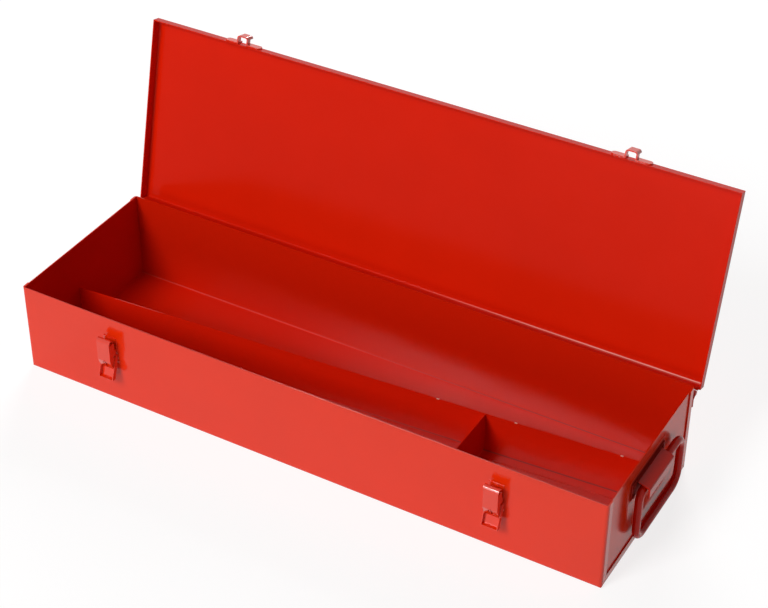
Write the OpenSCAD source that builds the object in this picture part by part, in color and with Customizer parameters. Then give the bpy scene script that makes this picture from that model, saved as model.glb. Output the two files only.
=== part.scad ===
// Long flat sheet-steel tool case with a back-hinged lid, a slanting divider, two hooked
// lever latches on swinging links and a drop handle on its right end.
// Millimetres, Z up, X along the length, front at -Y.
// The origin is the centre of the face that the case stands on.

/* [Case] */
// Outside length of the case body
case_len = 668; // [560:1:760]
// Outside depth of the case body, front to back
case_depth = 200; // [180:1:260]
// Outside height of the case body
case_h = 104; // [100:1:120]
// Thickness of the case and lid sheet
sheet = 1.2; // [0.8:0.1:1.6]
// Inside radius of the folded edges
bend_r = 2; // [1:0.25:3]
// Width of the flanges folded over each end panel
end_flange = 10; // [7:0.5:12]
// Slit between two flanges where they meet in a mitre
mitre_gap = 0.5; // [0.3:0.1:1]

/* [Dividers] */
// Height of both dividers above the floor
divider_h = 48; // [30:1:70]
// Thickness of the divider sheet
divider_t = 1.2; // [0.8:0.1:1.6]
// Place of the long divider at the left end, from the middle of the depth
divider_left_y = -13; // [-30:1:0]
// Place of the long divider at the right end, from the middle of the depth
divider_right_y = 32; // [10:1:50]
// Width of the long divider's foot on the floor
divider_foot = 11; // [6:0.5:16]
// Place of the cross divider along the length
cross_x = 148; // [60:1:260]
// Space left around the foot by the notch in the cross divider
foot_notch_gap = 1.5; // [0.8:0.1:3]
// Gap between a divider and the sheet that it ends at
divider_gap = 0.2; // [0.1:0.05:0.3]

/* [Lid] */
// Depth of the lid's rim, all round
lid_rim = 12; // [9:0.5:14]
// Space between the lid's rim and the ends of the case
lid_gap_x = 1; // [0.6:0.1:2]
// Space between the lid's rim and the front of the case
lid_gap_front = 3.6; // [2.6:0.1:3.6]
// Space between the lid's rim and the back of the case
lid_gap_back = 2.4; // [1:0.1:3]
// Space between the case's top edge and the closed lid
lid_rest_gap = 0.4; // [0.3:0.1:1]
// How far the lid stands open, measured from closed
open_angle = 103.5; // [90:0.5:110]

/* [Hinge] */
// Distance of the hinge's ends from the ends of the case
hinge_inset = 0; // [0:0.5:12]
// Diameter of the hinge pin
hinge_pin_d = 3; // [2:0.25:3.5]
// Outside diameter of the hinge knuckles
knuckle_d = 5.4; // [5:0.1:6]
// Wanted length of one hinge knuckle
knuckle_len = 25; // [16:1:40]
// Gap between neighbouring knuckles
knuckle_gap = 0.5; // [0.3:0.1:1]
// Height of each hinge leaf on its wall
leaf_h = 10; // [8:0.5:11]
// Thickness of the hinge leaves
leaf_t = 1; // [0.8:0.1:1.2]
// Running clearance on the radius of the hinge pin
pin_clear = 0.05; // [0.02:0.01:0.1]
// Gap between the hinge barrel and the rim of the lid above it
barrel_gap = 0.6; // [0.4:0.1:1.5]

/* [Latches] */
// Distance of the left latch from the left end of the case
latch_inset_left = 110.2; // [80:0.2:150]
// Distance of the right latch from the right end of the case
latch_inset_right = 112.8; // [80:0.2:150]
// Height of the line on which the latch link swings
link_pivot_h = 74; // [72:0.5:76]
// Distance of that line from the front of the case
link_pivot_out = 5.6; // [5:0.1:6]
// Length of the link between its two bars
link_len = 12; // [11:0.5:13]
// Diameter of the link's wire
wire_d = 2.5; // [2:0.1:2.8]
// Clearance on the radius round the link's bars
wire_clear = 0.05; // [0.02:0.01:0.1]
// Outside width of the lever
lever_w = 17.8; // [17.4:0.2:20]
// Distance of the hook plate's face from the front of the case
lever_out = 12.6; // [12.2:0.1:13.5]
// Height of the hook's top above the lever's lower link bar
hook_up = 22.5; // [22:0.1:23]
// Outside radius of the hook
hook_r = 3.5; // [3.3:0.1:3.6]
// Width of the hook's roll
hook_roll_w = 16.4; // [15:0.2:18]
// Height of the top of the hook plate's sides above the lower link bar
side_up = 16.8; // [14:0.2:17]
// Distance of the hook plate's lower bend below the lower link bar
hook_bend_down = 3.4; // [2.4:0.2:5]
// Distance of the lever pin below the lower link bar
pin_down = 13.5; // [12.5:0.1:14.5]
// Distance of the lever pin from the front of the case
pin_out = 6.3; // [6:0.1:6.6]
// Radius of the hook plate's ears round the lever pin
lug_r = 2.3; // [2:0.1:2.6]
// Least distance of the hook plate's upper sides from the front of the case
side_back = 3.7; // [3.5:0.1:5]
// Radius of the short rivets between the hook plate and the lever
stub_r = 0.9; // [0.7:0.1:1]
// Distance of the short rivets from the front of the case
stub_out = 2.9; // [2.7:0.1:3]
// Distance of the short rivets below the lower link bar
stub_down = 1; // [0.8:0.1:1.4]
// Distance of the lever's back from the case at its finger end
lever_foot = 8; // [6:0.2:9]
// Least space between the lever's sides and the case
back_gap = 0.6; // [0.4:0.1:0.8]
// Distance of the lever's finger end below the lower link bar
lever_down = 26.8; // [24:0.2:32]
// Height of the lever's sides above the lower link bar
lever_top = 1; // [0.5:0.1:2]
// Height of the lever's recessed web above its finger end
web_h = 10.3; // [6:0.1:11]
// Thickness of the latch sheet
latch_t = 0.9; // [0.8:0.1:1]
// Side clearance between the nested sides of a latch
nest_gap = 0.2; // [0.15:0.05:0.25]
// Width of the slot in the hook plate's lower bend
slot_w = 4.4; // [3.6:0.2:6]
// Width of the staple in that slot
staple_w = 1.4; // [1:0.1:2]
// Height of the latch base on the case
base_h = 16; // [14:0.5:17]
// Diameter of all rivet shanks
rivet_d = 2.8; // [2:0.1:3]
// Clearance on the radius round all rivet shanks
rivet_clear = 0.05; // [0.02:0.01:0.1]
// Diameter of all rivet heads
rivet_head_d = 4.6; // [4:0.1:5]
// Height of all rivet heads
rivet_head_h = 0.9; // [0.6:0.1:1.2]

/* [Keepers] */
// Width of the keeper over both ears
keeper_w = 43; // [36:1:52]
// Height of the keeper's ears on the lid rim
keeper_ear_h = 9; // [8:0.5:10]
// Width of the raised strap
strap_w = 13; // [12:0.2:13]
// Distance of the strap's face from the lid rim
strap_out = 9.4; // [9:0.1:9.4]
// How far the strap stands above the closed lid
strap_over = 0.2; // [0:0.1:0.2]
// Length of the two legs, measured up the rim
leg_len = 5.6; // [3:0.2:6]
// Thickness of the keeper sheet
keeper_t = 1.4; // [1:0.1:1.5]
// Outside radius of the bends beside the strap
strap_r = 3; // [2:0.25:3.25]

/* [Handle] */
// Diameter of the handle rod
rod_d = 8; // [6:0.5:9]
// Distance between the centre lines of the handle's legs
handle_w = 100; // [100:1:120]
// Place of the handle's middle along the depth, from the middle
handle_y = 9.5; // [0:0.5:9.5]
// Distance between the centre lines of the handle's top and bottom bars
handle_drop = 59; // [45:1:62]
// Centre-line radius of the handle's upper corner beside the hood
handle_top_r = 8.5; // [7:0.5:9]
// Centre-line radius of the handle's other upper corner
handle_rear_r = 15; // [8:0.5:18]
// Centre-line radius of the handle's lower corners
handle_low_r = 15; // [8:0.5:18]
// Height of the handle's pivot line
handle_pivot_h = 76; // [74:0.5:78]
// Clearance on the radius round the rod in its cradle
rod_clear = 0.1; // [0.05:0.01:0.1]
// Space between the hanging handle and the flange behind it
handle_rest_gap = 2.2; // [0.5:0.1:2.4]
// Length of the hood over the handle's top bar
hood_len = 56; // [48:1:56]
// Place of the hood's middle along the depth, from the middle
hood_y = -7.5; // [-7.5:0.5:0]
// Length of the cradle that the handle turns in
cradle_len = 32; // [20:1:34]
// Distance of the hood's front from the end panel
hood_out = 15.5; // [15.3:0.1:17]
// Height of the hood's top edge above the pivot line
hood_up = 10.5; // [10.3:0.1:12]
// Depth of the hood's front lip below the pivot line
hood_lip = 5.5; // [3:0.5:7]
// Slope of the hood's top, in degrees
hood_slope = 19; // [12:1:22]
// Outside radius of the hood's front edge
hood_r = 3; // [2:0.25:4]
// Thickness of the handle bracket
bracket_t = 1.2; // [1:0.1:1.4]
// Length of each flat ear of the bracket
bracket_ear = 10; // [8:0.5:14]

/* [Hidden] */
$fn = 64;

enamel = [0.78, 0.1, 0.04];
enamel_dark = [0.6, 0.07, 0.03];
enamel_light = [0.9, 0.25, 0.18];
eps = 0.01;
seam = 0.05;
past = 50;

half_len = case_len / 2;
half_depth = case_depth / 2;
panel_face = half_len - sheet;
inner_x = panel_face - sheet;
bend_out = bend_r + sheet;

lid_half_len = half_len + lid_gap_x + sheet;
lid_front = half_depth + lid_gap_front + sheet;
lid_back = half_depth + lid_gap_back + sheet;
lid_half_depth = (lid_front + lid_back) / 2;
lid_mid = (lid_back - lid_front) / 2;
lid_top = case_h + lid_rest_gap + sheet;
lid_edge = lid_top - lid_rim;

knuckle_r = knuckle_d / 2;
hinge_y = lid_back + leaf_t / 2 + knuckle_r;
hinge_z = lid_edge - barrel_gap - knuckle_r;
hinge_len = case_len - 2 * hinge_inset;
knuckle_count = 2 * floor(hinge_len / (2 * knuckle_len)) + 1;
knuckle_pitch = hinge_len / knuckle_count;
pin_bore_r = hinge_pin_d / 2 + pin_clear;

divider_angle = atan2(divider_right_y - divider_left_y, 2 * inner_x);
divider_mid_y = (divider_left_y + divider_right_y) / 2;

left_latch_x = latch_inset_left - half_len;
right_latch_x = half_len - latch_inset_right;
wire_r = wire_d / 2;
roll_in_r = wire_r + wire_clear;
roll_out_r = roll_in_r + latch_t;
lower_bar_h = link_pivot_h - link_len;
lever_half = lever_w / 2;
hook_half = lever_half - latch_t - nest_gap;
link_half = hook_half - latch_t - nest_gap - wire_r - nest_gap;
lug_half = link_half - wire_r - 2 * nest_gap;
hook_top = lower_bar_h + hook_up;
side_top = lower_bar_h + side_up;
hook_bend = lower_bar_h - hook_bend_down;
pin_h = lower_bar_h - pin_down;
hook_foot = pin_h + 1.5;
lever_end = lower_bar_h - lever_down;
lever_h = lower_bar_h + lever_top;
base_mid = link_pivot_h;
rivet_step = base_h / 2 - rivet_head_d / 2 - 0.6;
keeper_mid = lid_edge + lid_rim / 2;
keeper_low = keeper_mid - keeper_ear_h / 2;

rivet_hole_r = rivet_d / 2 + rivet_clear;

rod_r = rod_d / 2;
handle_out = sheet + rod_r + handle_rest_gap;
handle_half = handle_w / 2;
cradle_r = rod_r + rod_clear;
ear_mid = (hood_len + bracket_ear) / 2;
handle_low = handle_pivot_h - handle_drop;
hood_top = handle_pivot_h + hood_up;
hood_end = handle_pivot_h - hood_lip;
ear_bottom = hood_end - 3;

// A flat outline in Y and Z, drawn out along X about the middle.
module along_x(width) {
    rotate([90, 0, 90]) linear_extrude(height = width, center = true) children();
}

// A flat outline in X and Z, drawn out along Y about the middle.
module along_y(width) {
    rotate([90, 0, 0]) linear_extrude(height = width, center = true) children();
}

// A box given by its lowest and highest corner.
module span(low, high) {
    translate(low) cube(high - low);
}

// A rectangle whose lower two corners are round.
module trough(half_w, low, high, r) {
    translate([-half_w, low + r]) square([2 * half_w, high - low - r]);
    translate([-half_w + r, low]) square([2 * (half_w - r), high - low]);
    translate([-half_w + r, low + r]) circle(r);
    translate([half_w - r, low + r]) circle(r);
}

// A rectangle whose upper two corners are round.
module hump(half_w, low, high, r) {
    translate([0, low + high]) mirror([0, 1]) trough(half_w, low, high, r);
}

// A rectangle with four round corners.
module rounded(size, r) {
    translate([-size[0] / 2 + r, -size[1] / 2]) square([size[0] - 2 * r, size[1]]);
    translate([-size[0] / 2, -size[1] / 2 + r]) square([size[0], size[1] - 2 * r]);
    for (sx = [-1, 1]) {
        for (sy = [-1, 1]) {
            translate([sx * (size[0] / 2 - r), sy * (size[1] / 2 - r)]) circle(r);
        }
    }
}

module rivet(grip) {
    translate([0, 0, -grip - rivet_head_h]) cylinder(d = rivet_d, h = grip + rivet_head_h + eps);
    cylinder(d = rivet_head_d, h = rivet_head_h);
    translate([0, 0, -grip - rivet_head_h]) cylinder(d = rivet_head_d, h = rivet_head_h);
}

// ---- case ----

module latch_rivet_spots() {
    for (x = [left_latch_x, right_latch_x]) {
        for (step = [-rivet_step, rivet_step]) {
            translate([x, -half_depth, base_mid + step]) rotate([90, 0, 0]) children();
        }
    }
}

module case_wrap() {
    color(enamel) difference() {
        intersection() {
            along_x(case_len) trough(half_depth, 0, case_h, bend_out);
            along_y(case_depth) trough(half_len, 0, case_h, bend_out);
            linear_extrude(height = case_h) rounded([case_len, case_depth], bend_out);
        }
        along_x(2 * panel_face) trough(half_depth - sheet, sheet, case_h + past, bend_r);
        along_x(case_len + past) trough(half_depth - end_flange, end_flange, case_h + past, eps);
        for (end = [-1, 1]) {
            for (side = [-1, 1]) {
                translate([end * (half_len - sheet / 2), side * (half_depth - end_flange), end_flange])
                    rotate([side * 45, 0, 0])
                    span([-sheet, -mitre_gap / 2, -1.2 * end_flange], [sheet, mitre_gap / 2, eps]);
            }
        }
        latch_rivet_spots() translate([0, 0, -past / 2]) cylinder(r = rivet_hole_r, h = past);
    }
}

module end_panel() {
    color(enamel_dark)
        translate([panel_face - sheet / 2, 0, 0])
        along_x(sheet) trough(half_depth - sheet, sheet, case_h, bend_out);
}

module left_end_panel() {
    mirror([1, 0, 0]) end_panel();
}

module right_end_panel() {
    difference() {
        end_panel();
        handle_rivet_spots() translate([0, 0, -past / 2]) cylinder(r = rivet_hole_r, h = past);
    }
}

// ---- dividers ----

module at_divider() {
    translate([0, divider_mid_y, sheet]) rotate([0, 0, divider_angle]) children();
}

module long_divider() {
    color(enamel_light) intersection() {
        at_divider() along_x(case_len) difference() {
            union() {
                translate([0, bend_out]) square([divider_t, divider_h - bend_out]);
                translate([-divider_foot, 0]) square([divider_foot + divider_t - bend_out, divider_t]);
                translate([divider_t - bend_out, bend_out]) intersection() {
                    circle(bend_out);
                    translate([0, -bend_out]) square([bend_out, bend_out]);
                }
            }
            translate([divider_t - bend_out, bend_out]) circle(bend_out - divider_t);
        }
        span([-inner_x + divider_gap, -half_depth, 0], [inner_x - divider_gap, half_depth, case_h]);
    }
}

module cross_divider() {
    color(enamel_light) difference() {
        span([cross_x - divider_t / 2, -half_depth + sheet, sheet],
             [cross_x + divider_t / 2, half_depth, sheet + divider_h]);
        at_divider() span([-case_len, -divider_gap, -past], [case_len, case_depth, past + case_h]);
        at_divider() span([-case_len, -divider_foot - foot_notch_gap, -past],
                          [case_len, eps, divider_t + foot_notch_gap]);
        span([cross_x - divider_t, -half_depth, 0],
             [cross_x + divider_t, -half_depth + sheet + bend_r, sheet + bend_r]);
    }
}

// ---- hinge ----

module knuckles(first) {
    for (i = [first : 2 : knuckle_count - 1]) {
        translate([-hinge_len / 2 + i * knuckle_pitch + knuckle_gap / 2, hinge_y, hinge_z])
            rotate([0, 90, 0]) cylinder(r = knuckle_r, h = knuckle_pitch - knuckle_gap);
    }
}

module knuckle_clear(first) {
    for (i = [first : 2 : knuckle_count - 1]) {
        translate([-hinge_len / 2 + i * knuckle_pitch - knuckle_gap / 2, hinge_y, hinge_z])
            rotate([0, 90, 0]) cylinder(r = knuckle_r + knuckle_gap, h = knuckle_pitch + knuckle_gap);
    }
}

module pin_bore() {
    translate([-case_len, hinge_y, hinge_z]) rotate([0, 90, 0]) cylinder(r = pin_bore_r, h = 2 * case_len);
}

module hinge_case_leaf() {
    color(enamel_dark) difference() {
        union() {
            knuckles(0);
            difference() {
                along_x(hinge_len) polygon([
                    [half_depth, hinge_z - knuckle_r - leaf_h],
                    [half_depth + leaf_t, hinge_z - knuckle_r - leaf_h],
                    [half_depth + leaf_t, hinge_z - knuckle_r - leaf_t],
                    [hinge_y - knuckle_r + leaf_t, hinge_z - leaf_t],
                    [hinge_y - knuckle_r + leaf_t, hinge_z],
                    [hinge_y - knuckle_r, hinge_z],
                    [half_depth, hinge_z - knuckle_r]]);
                knuckle_clear(1);
            }
        }
        pin_bore();
    }
}

module hinge_pin() {
    color(enamel) translate([-hinge_len / 2, hinge_y, hinge_z])
        rotate([0, 90, 0]) cylinder(d = hinge_pin_d, h = hinge_len);
}

// ---- lid ----

// Turns a piece that is drawn on the closed lid to where the open lid holds it.
module opened() {
    translate([0, hinge_y, hinge_z]) rotate([-open_angle, 0, 0])
        translate([0, -hinge_y, -hinge_z]) children();
}

module lid_pan() {
    color(enamel) opened() translate([0, lid_mid, 0]) difference() {
        intersection() {
            along_x(2 * lid_half_len) hump(lid_half_depth, lid_edge, lid_top, bend_out);
            along_y(2 * lid_half_depth) hump(lid_half_len, lid_edge, lid_top, bend_out);
        }
        intersection() {
            along_x(2 * (lid_half_len - sheet))
                hump(lid_half_depth - sheet, lid_edge - past, lid_top - sheet, bend_r);
            along_y(2 * (lid_half_depth - sheet))
                hump(lid_half_len - sheet, lid_edge - past, lid_top - sheet, bend_r);
        }
    }
}

module hinge_lid_leaf() {
    color(enamel_dark) opened() difference() {
        union() {
            knuckles(1);
            difference() {
                along_x(hinge_len) polygon([
                    [lid_back, lid_edge + leaf_h - bend_out],
                    [lid_back + leaf_t, lid_edge + leaf_h - bend_out],
                    [lid_back + leaf_t, hinge_z],
                    [hinge_y - knuckle_r, hinge_z],
                    [lid_back, lid_edge]]);
                knuckle_clear(0);
            }
        }
        pin_bore();
    }
}

// The strap seen from above, with Y as the distance from the lid's rim.
module strap_outline() {
    difference() {
        trough(strap_w / 2, -strap_out, 0, strap_r);
        trough(strap_w / 2 - keeper_t, -strap_out + keeper_t, past, strap_r - keeper_t);
    }
}

module keeper(x) {
    color(enamel_light) opened() translate([x, -lid_front, 0]) {
        difference() {
            translate([0, -keeper_t / 2, keeper_mid]) along_y(keeper_t) rounded([keeper_w, keeper_ear_h], 4);
            span([-strap_w / 2 + keeper_t, -past, 0], [strap_w / 2 - keeper_t, past, case_h + past]);
        }
        translate([0, 0, keeper_low]) linear_extrude(height = leg_len) strap_outline();
        translate([0, 0, keeper_low])
            linear_extrude(height = lid_top + strap_over - keeper_low) intersection() {
                strap_outline();
                translate([-strap_w, -strap_out]) square([2 * strap_w, strap_r]);
            }
    }
}

module left_keeper() {
    keeper(left_latch_x);
}

module right_keeper() {
    keeper(right_latch_x);
}

// ---- latches ----

// Puts a piece drawn with Y as the distance behind the case front at one latch.
module at_latch(x) {
    translate([x, -half_depth, 0]) children();
}

module bar_bore(height, out) {
    translate([0, -out, height]) rotate([0, 90, 0]) cylinder(r = roll_in_r, h = 2 * lever_w, center = true);
}

module bar_roll(height, out, half) {
    translate([0, -out, height]) rotate([0, 90, 0]) cylinder(r = roll_out_r, h = 2 * half, center = true);
}

module latch_base(x) {
    color(enamel) difference() {
        at_latch(x) difference() {
            union() {
                span([-hook_half, -latch_t, base_mid - base_h / 2], [hook_half, 0, base_mid + base_h / 2]);
                span([-lug_half, -link_pivot_out, base_mid - latch_t], [lug_half, -latch_t + eps, base_mid + latch_t]);
                bar_roll(link_pivot_h, link_pivot_out, lug_half);
            }
            bar_bore(link_pivot_h, link_pivot_out);
        }
        latch_rivet_spots() translate([0, 0, -past / 2]) cylinder(r = rivet_hole_r, h = past);
    }
}

module left_latch_base() {
    latch_base(left_latch_x);
}

module right_latch_base() {
    latch_base(right_latch_x);
}

module latch_rivets() {
    color(enamel_dark) latch_rivet_spots() translate([0, 0, latch_t]) rivet(latch_t + sheet);
}

module link(x) {
    color(enamel_dark) at_latch(x) translate([0, -link_pivot_out, 0]) {
        for (h = [link_pivot_h, lower_bar_h]) {
            translate([0, 0, h]) rotate([0, 90, 0]) cylinder(d = wire_d, h = 2 * link_half, center = true);
        }
        for (leg = [-1, 1]) {
            translate([leg * link_half, 0, lower_bar_h]) cylinder(d = wire_d, h = link_len);
            translate([leg * link_half, 0, lower_bar_h]) sphere(d = wire_d);
            translate([leg * link_half, 0, link_pivot_h]) sphere(d = wire_d);
        }
    }
}

module left_link() {
    link(left_latch_x);
}

module right_link() {
    link(right_latch_x);
}

// Puts two copies of a short rivet where the lever's sides meet the hook plate's sides.
module stub_spots() {
    for (side = [-1, 1]) {
        translate([side * (hook_half + nest_gap / 2), -stub_out, lower_bar_h - stub_down])
            rotate([0, 90, 0]) children();
    }
}

// The hook plate's face with its bent foot, moved out from its own place.
module hook_face_outline(out, high) {
    foot_in = (hook_bend - hook_foot) * (lever_out - pin_out - lug_r) / (hook_bend - pin_h);
    translate([-lever_out - out, 0]) polygon([
        [0, high],
        [0, hook_bend],
        [foot_in, hook_foot],
        [foot_in + latch_t, hook_foot],
        [latch_t, hook_bend],
        [latch_t, high]]);
}

// One side of the hook plate. Its front edge lies inside the face's sheet.
module hook_side_outline() {
    translate([-pin_out, pin_h]) circle(lug_r);
    polygon([
        [-pin_out - lug_r + seam, pin_h],
        [-lever_out + seam, hook_bend],
        [-lever_out + seam, side_top - 1.5],
        [-lever_out + 1.5, side_top],
        [-side_back - 1.5, side_top],
        [-side_back, side_top - 1.5],
        [-side_back, lower_bar_h + 8],
        [-latch_t - back_gap, lower_bar_h + 7],
        [-latch_t - back_gap, lower_bar_h - 0.5],
        [-pin_out + lug_r, pin_h]]);
}

module hook_plate(x) {
    roll_h = hook_top - hook_r;
    color(enamel_light) at_latch(x) difference() {
        union() {
            difference() {
                along_x(2 * hook_half) hook_face_outline(0, roll_h);
                along_x(slot_w) translate([-past, hook_foot + latch_t])
                    square([past, hook_bend - hook_foot - 2 * latch_t]);
            }
            along_x(staple_w) hook_face_outline(latch_t / 2, hook_bend + latch_t);
            along_x(hook_roll_w) translate([-lever_out + hook_r, roll_h]) intersection() {
                difference() {
                    circle(hook_r);
                    circle(hook_r - latch_t);
                }
                translate([-hook_r, 0]) square([2 * hook_r, hook_r]);
            }
            for (wing = [-1, 1]) {
                translate([wing * (hook_half - latch_t / 2), 0, 0]) along_x(latch_t) hook_side_outline();
            }
            span([-lug_half, -lever_out + eps, lower_bar_h - latch_t / 2],
                 [lug_half, -link_pivot_out, lower_bar_h + latch_t / 2]);
            bar_roll(lower_bar_h, link_pivot_out, lug_half);
        }
        bar_bore(lower_bar_h, link_pivot_out);
        bar_bore(pin_h, pin_out);
        stub_spots() cylinder(r = stub_r + wire_clear, h = 4 * latch_t, center = true);
    }
}

module left_hook_plate() {
    hook_plate(left_latch_x);
}

module right_hook_plate() {
    hook_plate(right_latch_x);
}

module lever(x) {
    lean = (lever_foot - back_gap) / (lever_h - 3.5 - lever_end);
    color(enamel) at_latch(x) difference() {
        union() {
            for (wing = [-1, 1]) {
                translate([wing * (lever_half - latch_t / 2), 0, 0]) along_x(latch_t) polygon([
                    [-lever_foot, lever_end],
                    [-lever_out, lever_end],
                    [-lever_out, lever_end + 2.3],
                    [-back_gap - 3, lever_h],
                    [-back_gap, lever_h],
                    [-back_gap, lever_h - 3.5]]);
            }
            along_x(lever_w) polygon([
                [-lever_foot, lever_end],
                [-lever_foot - latch_t, lever_end],
                [-lever_foot - latch_t + web_h * lean, lever_end + web_h],
                [-lever_foot + web_h * lean, lever_end + web_h]]);
            span([-lever_half, -lever_out, lever_end], [lever_half, -lever_foot, lever_end + latch_t]);
        }
        bar_bore(pin_h, pin_out);
        stub_spots() cylinder(r = stub_r + wire_clear, h = 4 * latch_t, center = true);
    }
}

module left_lever() {
    lever(left_latch_x);
}

module right_lever() {
    lever(right_latch_x);
}

module lever_pins(x) {
    color(enamel_dark) at_latch(x) {
        translate([0, -pin_out, pin_h]) rotate([0, 90, 0])
            cylinder(d = wire_d, h = lever_w + latch_t, center = true);
        stub_spots() cylinder(r = stub_r, h = 2 * latch_t + 3 * nest_gap, center = true);
    }
}

module left_lever_pins() {
    lever_pins(left_latch_x);
}

module right_lever_pins() {
    lever_pins(right_latch_x);
}

// ---- handle ----

module handle_rivet_spots() {
    for (side = [-1, 1]) {
        for (h = [ear_bottom + 3, hood_top - 4]) {
            translate([panel_face, hood_y + side * ear_mid, h]) rotate([0, 90, 0]) children();
        }
    }
}

// The outline of the hood in distance from the panel and height, shrunk inwards by cut.
module hood_outline(cut) {
    mid_x = hood_out - hood_r;
    mid_z = hood_top - (mid_x + hood_r * sin(hood_slope)) * tan(hood_slope) - hood_r * cos(hood_slope);
    r = hood_r - cut;
    back = cut > 0 ? cut : 0;
    back_z = hood_top - back * tan(hood_slope) - cut / cos(hood_slope);
    low = cut > 0 ? hood_end - past : hood_end;
    translate([mid_x, mid_z]) circle(r);
    polygon([[back, low], [back, back_z], [mid_x + r * sin(hood_slope), mid_z + r * cos(hood_slope)],
             [mid_x, mid_z], [mid_x + r, mid_z], [mid_x + r, low]]);
}

// The cradle's shelf and trough round the rod.
module cradle_outline() {
    difference() {
        union() {
            translate([handle_out, 0]) circle(cradle_r + bracket_t);
            translate([0, -cradle_r - bracket_t]) square([handle_out, bracket_t]);
        }
        translate([handle_out, 0]) circle(cradle_r);
        translate([0, 1]) square([2 * hood_out, hood_out]);
    }
}

module handle_bracket() {
    color(enamel) difference() {
        translate([panel_face, hood_y, 0]) {
            along_y(hood_len) difference() {
                hood_outline(0);
                hood_outline(bracket_t);
            }
            span([0, -hood_len / 2 - bracket_ear, ear_bottom], [bracket_t, hood_len / 2 + bracket_ear, hood_top]);
            translate([0, 0, handle_pivot_h]) along_y(cradle_len) cradle_outline();
        }
        handle_rivet_spots() translate([0, 0, -past / 2]) cylinder(r = rivet_hole_r, h = past);
    }
}

module handle_rivets() {
    color(enamel_dark) handle_rivet_spots() translate([0, 0, bracket_t]) rivet(bracket_t + sheet);
}

module handle_corner(r) {
    rotate([90, 0, 90]) rotate_extrude(angle = 90) translate([r, 0]) circle(rod_r);
}

module handle_half_ring(top_r) {
    translate([0, -eps, handle_pivot_h])
        rotate([-90, 0, 0]) cylinder(r = rod_r, h = handle_half - top_r + eps);
    translate([0, -eps, handle_low])
        rotate([-90, 0, 0]) cylinder(r = rod_r, h = handle_half - handle_low_r + eps);
    translate([0, handle_half, handle_low + handle_low_r])
        cylinder(r = rod_r, h = handle_drop - handle_low_r - top_r);
    translate([0, handle_half - top_r, handle_pivot_h - top_r]) handle_corner(top_r);
    translate([0, handle_half - handle_low_r, handle_low + handle_low_r])
        mirror([0, 0, 1]) handle_corner(handle_low_r);
}

module carry_handle() {
    color(enamel_dark) translate([panel_face + handle_out, handle_y, 0]) {
        handle_half_ring(handle_rear_r);
        mirror([0, 1, 0]) handle_half_ring(handle_top_r);
    }
}

case_wrap();
left_end_panel();
right_end_panel();
long_divider();
cross_divider();
hinge_case_leaf();
hinge_pin();
left_latch_base();
right_latch_base();
latch_rivets();
handle_bracket();
handle_rivets();
lid_pan();
hinge_lid_leaf();
left_keeper();
right_keeper();
left_link();
right_link();
left_hook_plate();
right_hook_plate();
left_lever();
right_lever();
left_lever_pins();
right_lever_pins();
carry_handle();
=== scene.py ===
import math

import bpy
from mathutils import Matrix, Vector

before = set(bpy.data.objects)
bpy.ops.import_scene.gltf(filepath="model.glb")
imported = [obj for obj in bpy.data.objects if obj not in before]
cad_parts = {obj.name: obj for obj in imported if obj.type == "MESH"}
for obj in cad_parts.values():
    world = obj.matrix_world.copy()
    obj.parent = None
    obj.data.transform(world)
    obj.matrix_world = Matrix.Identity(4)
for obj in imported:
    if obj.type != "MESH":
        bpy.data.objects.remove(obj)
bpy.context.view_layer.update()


def points_of(name):
    return [vertex.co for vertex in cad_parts[name].data.vertices]


def reach(name, pick):
    """The low corner of a CAD node's own mesh where pick is min, and its high corner where it is max."""
    return [pick(point[axis] for point in points_of(name)) for axis in range(3)]


def divider_line():
    """The slope of the long divider's front face across the floor, and its place at the case's middle."""
    top = [point for point in points_of("long_divider") if point.z > DIVIDER_TOP - SHEET / 2]
    left, right = (min(top, key=lambda point: (side * round(point.x, 5), point.y)) for side in (1, -1))
    slope = (right.y - left.y) / (right.x - left.x)
    return slope, left.y - slope * left.x


# ---- places and sizes, in metres ----

# The viewpoint and the directions of the photograph's frame.
CAMERA_AT = (0.7998, -1.3257, 1.2906)
CAMERA_RIGHT = (0.8665, 0.4992, 0.0045)
CAMERA_UP = (-0.3004, 0.5142, 0.8033)
CAMERA_FORWARD = (-0.3987, 0.6974, -0.5955)
SENSOR_MM = 36.0
LENS_MM = 90.9
NEAREST_SEEN = 0.05
FARTHEST_SEEN = 60.0

# What the paint's places are measured from, taken from the frame.
CASE_HALF_LENGTH, CASE_HALF_DEPTH = reach("case_wrap", max)[:2]
SHEET = reach("right_end_panel", max)[0] - reach("right_end_panel", min)[0]
DIVIDER_TOP = reach("long_divider", max)[2]
DIVIDER_SLOPE, DIVIDER_MID_Y = divider_line()
BRACKET_MID_Y = (reach("handle_bracket", min)[1] + reach("handle_bracket", max)[1]) / 2
BRACKET_TOP = reach("handle_bracket", max)[2]
LID_FRONT, LID_FOOT = reach("lid_pan", min)[1:]

# Soft edges below are pairs: how far from its place a patch is full, and where it ends.

# Painted shade in the folds of the case: above its floor, and in from its walls.
CASE_SHADE_UP = (0.0004, 0.0014)
CASE_SHADE_IN = (0.0008, 0.0016)
# Painted shade along the divider's foot: above the foot, and out from the divider.
DIVIDER_SHADE_UP = (0.0004, 0.0016)
DIVIDER_SHADE_OUT = (0.0010, 0.0020)
# Painted glints on the divider's top edge: their places along the case, and half their width.
GLINTS_X = (0.0958, 0.1810, 0.2926)
GLINT_HALF = 0.0014
# The patch of painted shade under the hood: its middle below the bracket's top, and half its size.
SHADE_PATCH_DROP = 0.0085
SHADE_PATCH_ALONG = (0.034, 0.044)
SHADE_PATCH_UPRIGHT = (0.009, 0.015)
# The painted highlight line on the lid's fold: its place from the open lid's low front corner.
LID_LINE_BACK = 0.00824
LID_LINE_UP = 0.0017
LID_LINE_HALF = (0.0001, 0.0006)
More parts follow.
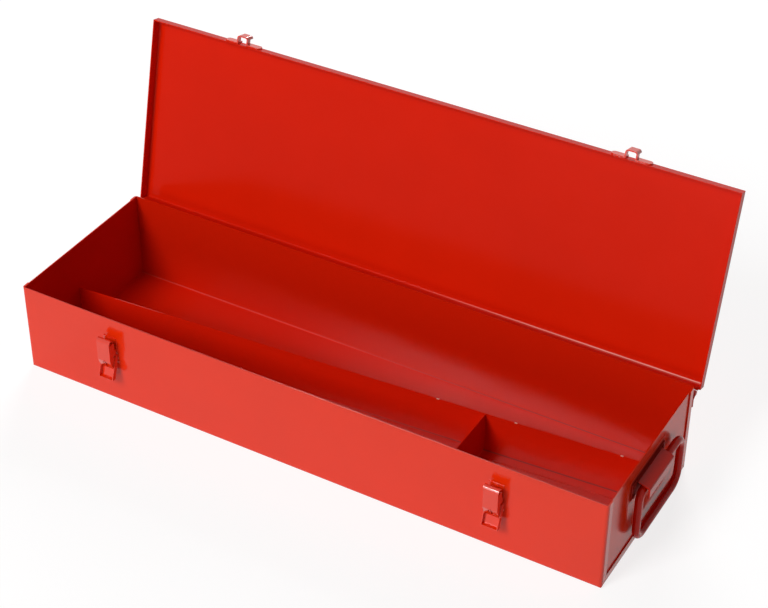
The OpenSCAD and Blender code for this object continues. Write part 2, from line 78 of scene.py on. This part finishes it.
# Where the painted shade in the folds sets in along the case, and where it is at its strongest.
FOLD_SHADE_X = (-0.10, 0.25)
# Where the lid's painted highlight sets in along the case, and where it is at its brightest.
LID_HIGHLIGHT_X = (-0.02, 0.25)

FLOOR_HALF = 12.0
# The floor's shade fades out between these distances from the case.
SHADE_FADE = (1.0, 2.5)
LIGHT_AIM = (0.0, -0.02, 0.08)

# ---- colours, linear ----

RED = (0.78, 0.0270, 0.0018)
# The reds below are the one enamel red, each darkened to stand for the shade on the lid, inside the case,
# on its floor, on the dividers and on the handle: painted shade.
LID_SHADED_RED = (0.67, 0.0125, 0.0012)
INNER_SHADED_RED = (0.61, 0.0125, 0.0012)
FLOOR_SHADED_RED = (0.74, 0.0140, 0.0014)
DIVIDER_SHADED_RED = (0.74, 0.0130, 0.0014)
HANDLE_SHADED_RED = (0.60, 0.0110, 0.0015)
# The pale colour of the painted highlights.
PAINTED_HIGHLIGHT = (0.90, 0.62, 0.52)
# The dark colour of the painted shade in the folds and under the hood.
PAINTED_SHADE = (0.20, 0.0060, 0.0020)
BLACK = (0.0, 0.0, 0.0)
WHITE = (1.0, 1.0, 1.0, 1.0)
PAPER = (0.82, 0.82, 0.82, 1.0)

# ---- shares and strengths ----

# The enamel's colour and roughness vary between these shares of their own value.
COAT_RANGE = (0.93, 1.05)
GLOSS_RANGE = (0.8, 1.25)
# Roughness inside the case, from wet to dry spray, and of the places with painted shade in the folds and
# under the hood.
INNER_GLOSS = (0.12, 0.19)
FOLD_SHADE_GLOSS = 0.6
SHADE_PATCH_GLOSS = 0.8
# The part of the noise that the grain of the dry spray uses, and the grain where it is faint.
GRAIN_NOISE = (0.2, 0.8)
FAINT_GRAIN = (0.35, 0.75)
# How much of the paint the painted shade covers, from least to most along the folds, and under the hood.
FOLD_SHADE_RANGE = (0.15, 0.75)
SHADE_PATCH_STRENGTH = 0.85
# How strong the lid's painted highlight is, where it comes and goes along the fold.
LID_HIGHLIGHT_RANGE = (0.35, 0.8)
# How much of the floor's white comes and goes with the light on it, and how bright that light is.
SHADOW_SHARE = 0.25
FLOOR_LIGHT = 0.75
ROOM_LIGHT = 0.08


# ---- node helpers ----

class Shader:
    """The nodes of a new material or world, with short ways to add and join them."""

    def __init__(self, owner, output):
        owner.use_nodes = True
        self.tree = owner.node_tree
        self.tree.nodes.clear()
        self.surface = self.add(output).inputs["Surface"]

    def add(self, kind, **values):
        node = self.tree.nodes.new("ShaderNode" + kind)
        for key, value in values.items():
            setattr(node, key, value)
        return node

    def join(self, source, target):
        self.tree.links.new(source, target)

    def feed(self, socket, value):
        """Sets a socket to a number, or joins it to another socket."""
        if isinstance(value, bpy.types.NodeSocket):
            self.join(value, socket)
        else:
            socket.default_value = value

    def math(self, operation, *values):
        node = self.add("Math", operation=operation)
        for socket, value in zip(node.inputs, values):
            self.feed(socket, value)
        return node.outputs[0]

    def product(self, *values):
        result = values[0]
        for value in values[1:]:
            result = self.math("MULTIPLY", result, value)
        return result

    def distance(self, value, place):
        return self.math("ABSOLUTE", self.math("SUBTRACT", value, place))

    def rise(self, value, start, end):
        """Runs smoothly from 0 at start to 1 at end."""
        node = self.add("MapRange", interpolation_type="SMOOTHSTEP")
        self.feed(node.inputs["Value"], value)
        node.inputs["From Min"].default_value = start
        node.inputs["From Max"].default_value = end
        return node.outputs["Result"]

    def fall(self, value, start, end):
        """Runs smoothly from 1 at start to 0 at end."""
        return self.math("SUBTRACT", 1.0, self.rise(value, start, end))

    def place(self, axis):
        """One of the object's own coordinates, in metres."""
        split = self.add("SeparateXYZ")
        self.join(self.add("TexCoord").outputs["Object"], split.inputs[0])
        return split.outputs[axis]

    def noise(self, scale, detail=2.0, stretch=(1.0, 1.0, 1.0)):
        mapping = self.add("Mapping")
        mapping.inputs["Scale"].default_value = stretch
        self.join(self.add("TexCoord").outputs["Object"], mapping.inputs["Vector"])
        node = self.add("TexNoise")
        node.inputs["Scale"].default_value = scale
        node.inputs["Detail"].default_value = detail
        self.join(mapping.outputs["Vector"], node.inputs["Vector"])
        return node.outputs["Fac"]

    def mix_colour(self, factor, low, high):
        node = self.add("Mix", data_type="RGBA")
        self.feed(node.inputs["Factor"], factor)
        for socket, colour in ((node.inputs["A"], low), (node.inputs["B"], high)):
            self.feed(socket, (*colour, 1.0) if isinstance(colour, tuple) else colour)
        return node.outputs["Result"]

    def mix_value(self, factor, low, high):
        node = self.add("Mix", data_type="FLOAT")
        for socket, value in (("Factor", factor), ("A", low), ("B", high)):
            self.feed(node.inputs[socket], value)
        return node.outputs["Result"]

    def mix_shader(self, factor, low, high):
        node = self.add("MixShader")
        for socket, source in zip(node.inputs, (factor, low, high)):
            self.join(source, socket)
        return node.outputs[0]

    def bump(self, height, strength, distance, below=None):
        """The normal of a bump that lies on top of the one below it."""
        node = self.add("Bump")
        node.inputs["Strength"].default_value = strength
        node.inputs["Distance"].default_value = distance
        self.join(height, node.inputs["Height"])
        if below is not None:
            self.join(below, node.inputs["Normal"])
        return node.outputs["Normal"]


# ---- places on the paint, each from 0 to 1 ----

def inside_case(shader):
    """1 on the faces inside the case and 0 on the ones outside it."""
    x, y = shader.math("ABSOLUTE", shader.place("X")), shader.math("ABSOLUTE", shader.place("Y"))
    inside_x = shader.math("LESS_THAN", x, CASE_HALF_LENGTH - 1.5 * SHEET)
    inside_y = shader.math("LESS_THAN", y, CASE_HALF_DEPTH - SHEET / 2)
    above = shader.math("GREATER_THAN", shader.place("Z"), SHEET / 2)
    return shader.product(inside_x, inside_y, above)


def case_fold_shade(shader):
    """The tight folds along the floor, which get painted shade."""
    up = shader.math("SUBTRACT", shader.place("Z"), SHEET)
    inward = shader.math("SUBTRACT", CASE_HALF_DEPTH - SHEET, shader.math("ABSOLUTE", shader.place("Y")))
    near = shader.product(shader.fall(up, *CASE_SHADE_UP), shader.fall(inward, *CASE_SHADE_IN))
    return shader.product(inside_case(shader), near)


def divider_fold_shade(shader):
    """The fold between the long divider and its foot, seen from in front, which gets painted shade."""
    face = shader.math("MULTIPLY_ADD", shader.place("X"), DIVIDER_SLOPE, DIVIDER_MID_Y)
    out = shader.math("SUBTRACT", face, shader.place("Y"))
    up = shader.math("SUBTRACT", shader.place("Z"), 2 * SHEET)
    return shader.product(shader.fall(out, *DIVIDER_SHADE_OUT), shader.fall(up, *DIVIDER_SHADE_UP))


def bracket_shade_patch(shader):
    """The patch on and round the bracket's plate under the hood, which gets painted shade."""
    flat = shader.math("LESS_THAN", shader.distance(shader.place("X"), CASE_HALF_LENGTH), SHEET * 1.5)
    along = shader.fall(shader.distance(shader.place("Y"), BRACKET_MID_Y), *SHADE_PATCH_ALONG)
    upright = shader.fall(shader.distance(shader.place("Z"), BRACKET_TOP - SHADE_PATCH_DROP), *SHADE_PATCH_UPRIGHT)
    return shader.product(flat, along, upright)


def lid_fold_highlight(shader):
    """The painted highlight along the fold at the foot of the lid."""
    line = shader.fall(shader.distance(shader.place("Z"), LID_FOOT + LID_LINE_UP), *LID_LINE_HALF)
    behind = shader.math("GREATER_THAN", shader.place("Y"), LID_FRONT + LID_LINE_BACK)
    patchy = shader.mix_value(shader.noise(scale=25.0, stretch=(1.0, 0.0, 0.0)), *LID_HIGHLIGHT_RANGE)
    return shader.product(line, behind, patchy, shader.rise(shader.place("X"), *LID_HIGHLIGHT_X))


def divider_glints(shader):
    """Tiny painted glints on the top edge of the long divider."""
    x = shader.place("X")
    specks = 0.0
    for place in GLINTS_X:
        speck = shader.math("LESS_THAN", shader.distance(x, place), GLINT_HALF)
        specks = shader.math("ADD", specks, speck)
    edge = shader.math("GREATER_THAN", shader.place("Z"), DIVIDER_TOP - SHEET * 0.4)
    return shader.product(edge, specks)


def spray_grain(shader):
    """Fine streaks of dry spray that run along the case."""
    streaks = shader.rise(shader.noise(scale=240.0, detail=3.0, stretch=(0.08, 1.0, 0.5)), *GRAIN_NOISE)
    cloud = shader.rise(shader.noise(scale=14.0), *GRAIN_NOISE)
    return shader.mix_value(cloud, streaks, shader.mix_value(streaks, *FAINT_GRAIN))


# ---- enamels ----

def enamel(name, colour, gloss=0.14, shine=0.5, wavy=1.0, inner_shaded=None, fold=None, shade_patch=None, glints=None):
    """Sprayed enamel on sheet steel, with cloudy colour and gloss, orange peel and slight waves.

    Where it is given one, its colour inside the case is a darker copy of the red, as painted shade. The
    functions it may be given mark the places of painted shade in the folds, of painted shade under the
    hood, and of painted highlights.
    """
    material = bpy.data.materials.new(name)
    shader = Shader(material, "OutputMaterial")
    cloud = shader.noise(scale=11.0, detail=3.0)
    thin_coat, thick_coat = (tuple(share * part for part in colour) for share in COAT_RANGE)
    base = shader.mix_colour(cloud, thin_coat, thick_coat)
    rough = shader.mix_value(cloud, *(share * gloss for share in GLOSS_RANGE))
    # Inside the case the colour is a shaded copy of the red, darker on the walls than on the floor:
    # painted shade.
    if inner_shaded:
        inside = inside_case(shader)
        on_floor = shader.math("LESS_THAN", shader.place("Z"), SHEET * 1.5)
        base = shader.mix_colour(inside, base, shader.mix_colour(on_floor, inner_shaded, FLOOR_SHADED_RED))
        rough = shader.mix_value(inside, rough, shader.mix_value(spray_grain(shader), *INNER_GLOSS))
    # Painted shade along the folds, stronger further right along the case, where the paint is also
    # duller.
    if fold:
        line = fold(shader)
        fold_shade_strength = shader.mix_value(shader.rise(shader.place("X"), *FOLD_SHADE_X), *FOLD_SHADE_RANGE)
        base = shader.mix_colour(shader.product(line, fold_shade_strength), base, PAINTED_SHADE)
        rough = shader.mix_value(line, rough, FOLD_SHADE_GLOSS)
    # Painted shade under the hood on the end panel and bracket, where the paint is also duller.
    if shade_patch:
        hood_shade = shade_patch(shader)
        base = shader.mix_colour(shader.product(hood_shade, SHADE_PATCH_STRENGTH), base, PAINTED_SHADE)
        rough = shader.mix_value(hood_shade, rough, SHADE_PATCH_GLOSS)
    # Painted highlights: pale specks on the divider's edge and a pale line on the lid's fold.
    if glints:
        base = shader.mix_colour(glints(shader), base, PAINTED_HIGHLIGHT)
    waves = shader.bump(shader.noise(scale=9.0, detail=1.0), strength=0.25 * wavy, distance=0.0012)
    peel = shader.bump(shader.noise(scale=420.0, detail=1.0), strength=0.10, distance=0.0002, below=waves)

    paint = shader.add("BsdfPrincipled")
    paint.inputs["IOR"].default_value = 1.5
    paint.inputs["Specular IOR Level"].default_value = shine
    shader.join(base, paint.inputs["Base Color"])
    shader.join(rough, paint.inputs["Roughness"])
    shader.join(peel, paint.inputs["Normal"])
    shader.join(paint.outputs["BSDF"], shader.surface)
    return material


def dress_all():
    """Gives each CAD node its enamel. The nodes that paints doesn't name are the small fittings."""
    case = enamel("case_enamel", RED, shine=0.36, inner_shaded=INNER_SHADED_RED, fold=case_fold_shade)
    end = enamel("end_enamel", RED, gloss=0.18, shine=0.12, inner_shaded=INNER_SHADED_RED, shade_patch=bracket_shade_patch)
    divider = enamel("divider_enamel", RED, gloss=0.26, shine=0.3, inner_shaded=DIVIDER_SHADED_RED, fold=divider_fold_shade,
                     glints=divider_glints)
    lid = enamel("lid_enamel", LID_SHADED_RED, gloss=0.16, shine=0.06, glints=lid_fold_highlight)
    fitting = enamel("fitting_enamel", RED, gloss=0.11, shine=0.7, wavy=0.0)
    handle = enamel("handle_enamel", HANDLE_SHADED_RED, gloss=0.16, shine=0.14, wavy=0.0, shade_patch=bracket_shade_patch)
    paints = {
        "case_wrap": case,
        "left_end_panel": end,
        "right_end_panel": end,
        "long_divider": divider,
        "cross_divider": divider,
        "lid_pan": lid,
        "handle_bracket": handle,
        "handle_rivets": handle,
        "carry_handle": handle,
    }
    for name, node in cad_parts.items():
        paint = paints.get(name, fitting)
        node.data.materials.clear()
        node.data.materials.append(paint)
        for slot in node.material_slots:
            slot.material = paint


# ---- studio ----

def add_object(name, data):
    thing = bpy.data.objects.new(name, data)
    bpy.context.scene.collection.objects.link(thing)
    return thing


def make_camera():
    data = bpy.data.cameras.new("camera")
    data.sensor_width = SENSOR_MM
    data.lens = LENS_MM
    data.clip_start = NEAREST_SEEN
    data.clip_end = FARTHEST_SEEN
    camera = add_object("camera", data)
    turn = Matrix((CAMERA_RIGHT, CAMERA_UP, -Vector(CAMERA_FORWARD))).transposed()
    camera.matrix_world = Matrix.Translation(CAMERA_AT) @ turn.normalized().to_4x4()
    bpy.context.scene.camera = camera


def seen_rays(shader):
    """1 for the rays that show the background: the camera's, and those that gloss and glass send on."""
    path = shader.add("LightPath").outputs
    seen = shader.math("MAXIMUM", path["Is Camera Ray"], path["Is Glossy Ray"])
    return shader.math("MAXIMUM", seen, path["Is Transmission Ray"])


def floor_paper():
    """Pale paper, seen as white with the object's soft shadow on it."""
    material = bpy.data.materials.new("floor_paper")
    shader = Shader(material, "OutputMaterial")
    x, y = shader.place("X"), shader.place("Y")
    away = shader.math("SQRT", shader.math("ADD", shader.product(x, x), shader.product(y, y)))
    far = shader.rise(away, *SHADE_FADE)
    paper = shader.add("BsdfDiffuse")
    paper.inputs["Color"].default_value = PAPER
    shade = shader.add("BsdfDiffuse")
    shader.join(shader.mix_colour(far, (SHADOW_SHARE,) * 3, BLACK), shade.inputs["Color"])
    glow = shader.add("Emission")
    shader.join(shader.mix_value(far, 1.0 - FLOOR_LIGHT * SHADOW_SHARE, 1.0), glow.inputs["Strength"])
    white = shader.add("AddShader")
    shader.join(shade.outputs[0], white.inputs[0])
    shader.join(glow.outputs[0], white.inputs[1])
    seen = shader.mix_shader(seen_rays(shader), paper.outputs[0], white.outputs[0])
    shader.join(seen, shader.surface)
    return material


def make_floor():
    mesh = bpy.data.meshes.new("floor")
    corners = [(sx * FLOOR_HALF, sy * FLOOR_HALF, 0.0) for sx, sy in ((-1, -1), (1, -1), (1, 1), (-1, 1))]
    mesh.from_pydata(corners, [], [(0, 1, 2, 3)])
    floor = add_object("floor", mesh)
    floor.data.materials.append(floor_paper())


def make_world():
    """Dim, even studio light, with a white background for the rays that show one."""
    world = bpy.data.worlds.new("studio")
    bpy.context.scene.world = world
    shader = Shader(world, "OutputWorld")
    room, backdrop = shader.add("Background"), shader.add("Background")
    room.inputs["Strength"].default_value = ROOM_LIGHT
    for node in (room, backdrop):
        node.inputs["Color"].default_value = WHITE
    seen = shader.mix_shader(seen_rays(shader), room.outputs[0], backdrop.outputs[0])
    shader.join(seen, shader.surface)


def soft_box(name, azimuth, elevation, distance, size, power):
    """A square soft light aimed at the case; azimuth 0 is straight in front and 90 is to the right."""
    data = bpy.data.lights.new(name, "AREA")
    data.shape = "SQUARE"
    data.size = size
    data.energy = power
    turn, lift = math.radians(azimuth), math.radians(elevation)
    away = Vector((math.sin(turn) * math.cos(lift), -math.cos(turn) * math.cos(lift), math.sin(lift)))
    light = add_object(name, data)
    light.location = Vector(LIGHT_AIM) + away * distance
    light.rotation_euler = away.to_track_quat("Z", "Y").to_euler()


def make_studio():
    make_camera()
    make_floor()
    make_world()
    soft_box("key", azimuth=-19, elevation=40, distance=6.0, size=2.0, power=232.0)
    soft_box("low_front", azimuth=-10, elevation=6, distance=4.0, size=1.2, power=27.0)
    soft_box("right_card", azimuth=75, elevation=6, distance=2.5, size=0.8, power=2.0)
    soft_box("rear", azimuth=200, elevation=28, distance=5.0, size=2.0, power=150.0)


dress_all()
make_studio()
bpy.context.scene.view_settings.view_transform = "Standard"
